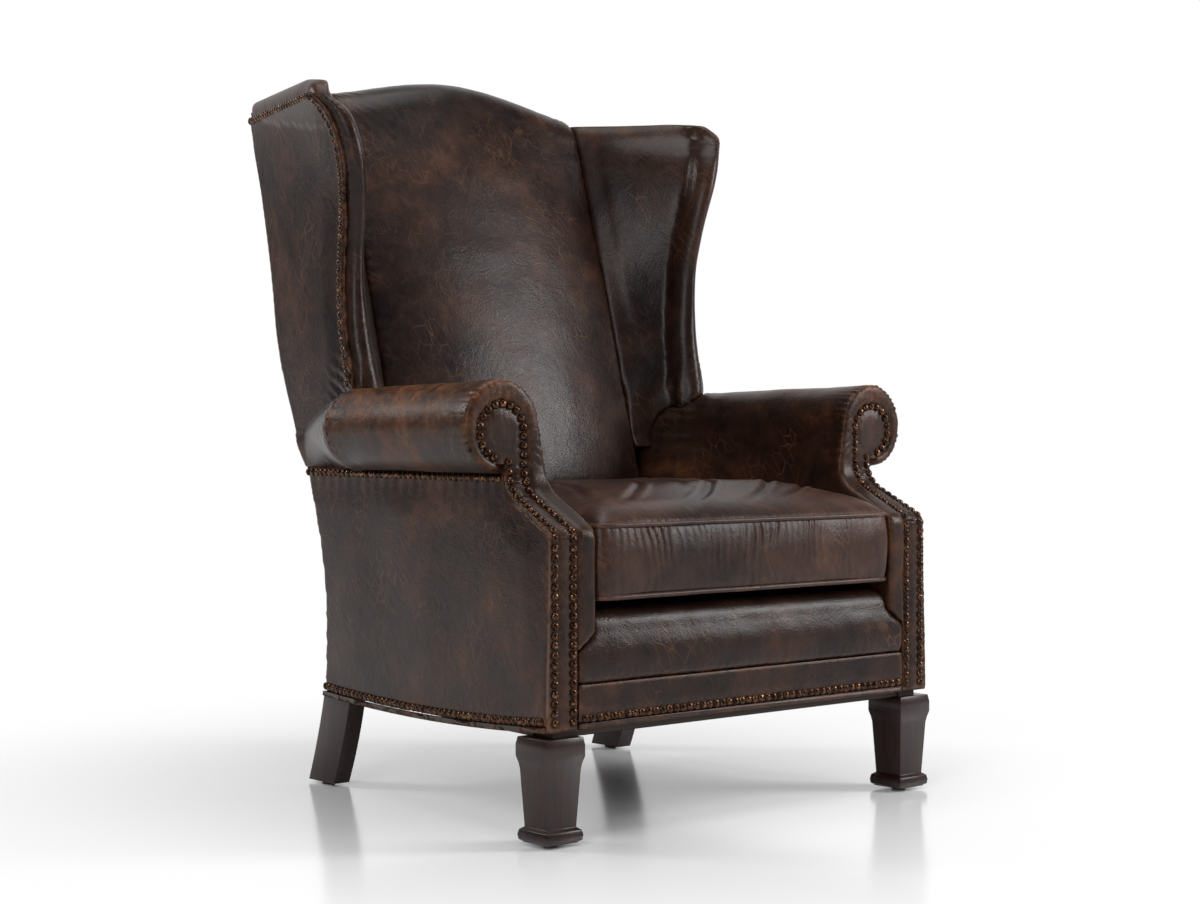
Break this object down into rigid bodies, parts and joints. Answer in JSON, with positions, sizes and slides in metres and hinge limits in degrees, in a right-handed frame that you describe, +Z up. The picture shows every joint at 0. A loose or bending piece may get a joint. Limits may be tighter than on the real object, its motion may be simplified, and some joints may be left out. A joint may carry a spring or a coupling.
{
  "type": "wingback armchair",
  "caption": "Wingback armchair in distressed leather with rolled arms, a loose seat cushion, nail-head trim and tapered square front legs.",
  "frame": {"origin": "centre of the chair's box on the floor", "axes": "+Z up, the chair faces -Y, +X is to the sitter's left hand"},
  "size_m": [0.8802, 0.8396, 1.1459],
  "materials": {
    "leather": "distressed pull-up, soft sheen",
    "antique_nails": "antique, dark",
    "leg_wood": "dark satin stain",
    "frame_timber": "planed hardwood",
    "foam": "cut foam",
    "cloth": "woven",
    "steel": "drawn wire",
    "glide_plastic": "moulded"
  },
  "bodies": {
    "frame": {"arm_facing_left": "leather", "arm_facing_right": "leather", "arm_front_nails_left": "antique_nails", "arm_front_nails_right": "antique_nails", "arm_line_nails_left": "antique_nails", "arm_line_nails_right": "antique_nails", "arm_padding_left": "foam", "arm_padding_right": "foam", "arm_rail_left": "frame_timber", "arm_rail_right": "frame_timber", "arm_stump_left": "frame_timber", "arm_stump_right": "frame_timber", "back_nails": "antique_nails", "back_padding": "foam", "back_post_left": "frame_timber", "back_post_right": "frame_timber", "back_webbing": "cloth", "base_nails": "antique_nails", "base_trim": "leather", "corner_blocks": "frame_timber", "crest_rail": "frame_timber", "deck_padding": "foam", "dust_cover": "cloth", "floor_glides": "glide_plastic", "front_border": "leather", "front_leg_left": "leg_wood", "front_leg_right": "leg_wood", "front_rail": "frame_timber", "front_rail_band": "leather", "inside_arm_cover_left": "leather", "inside_arm_cover_right": "leather", "inside_back_cover": "leather", "inside_wing_cover_left": "leather", "inside_wing_cover_right": "leather", "leg_bolts": "steel", "lower_back_rail": "frame_timber", "outside_arm_panel_left": "leather", "outside_arm_panel_right": "leather", "outside_back_panel": "leather", "outside_wing_panel_left": "leather", "outside_wing_panel_right": "leather", "rear_leg_left": "leg_wood", "rear_leg_right": "leg_wood", "rear_rail": "frame_timber", "seat_deck": "cloth", "seat_springs": "steel", "side_rail_left": "frame_timber", "side_rail_right": "frame_timber", "spring_clips": "steel", "wing_nails_left": "antique_nails", "wing_nails_right": "antique_nails", "wing_padding_left": "foam", "wing_padding_right": "foam", "wing_rail_left": "frame_timber", "wing_rail_right": "frame_timber", "wing_stile_left": "frame_timber", "wing_stile_right": "frame_timber"},
    "seat_cushion": {"cushion_core": "foam", "cushion_cover": "leather", "cushion_welts": "leather"}
  },
  "joints": [
    {"name": "cushion_lift", "type": "slide", "parent": "frame", "child": "seat_cushion", "axis": [0, 0, 1], "range_m": [0, 0.85]}
  ]
}
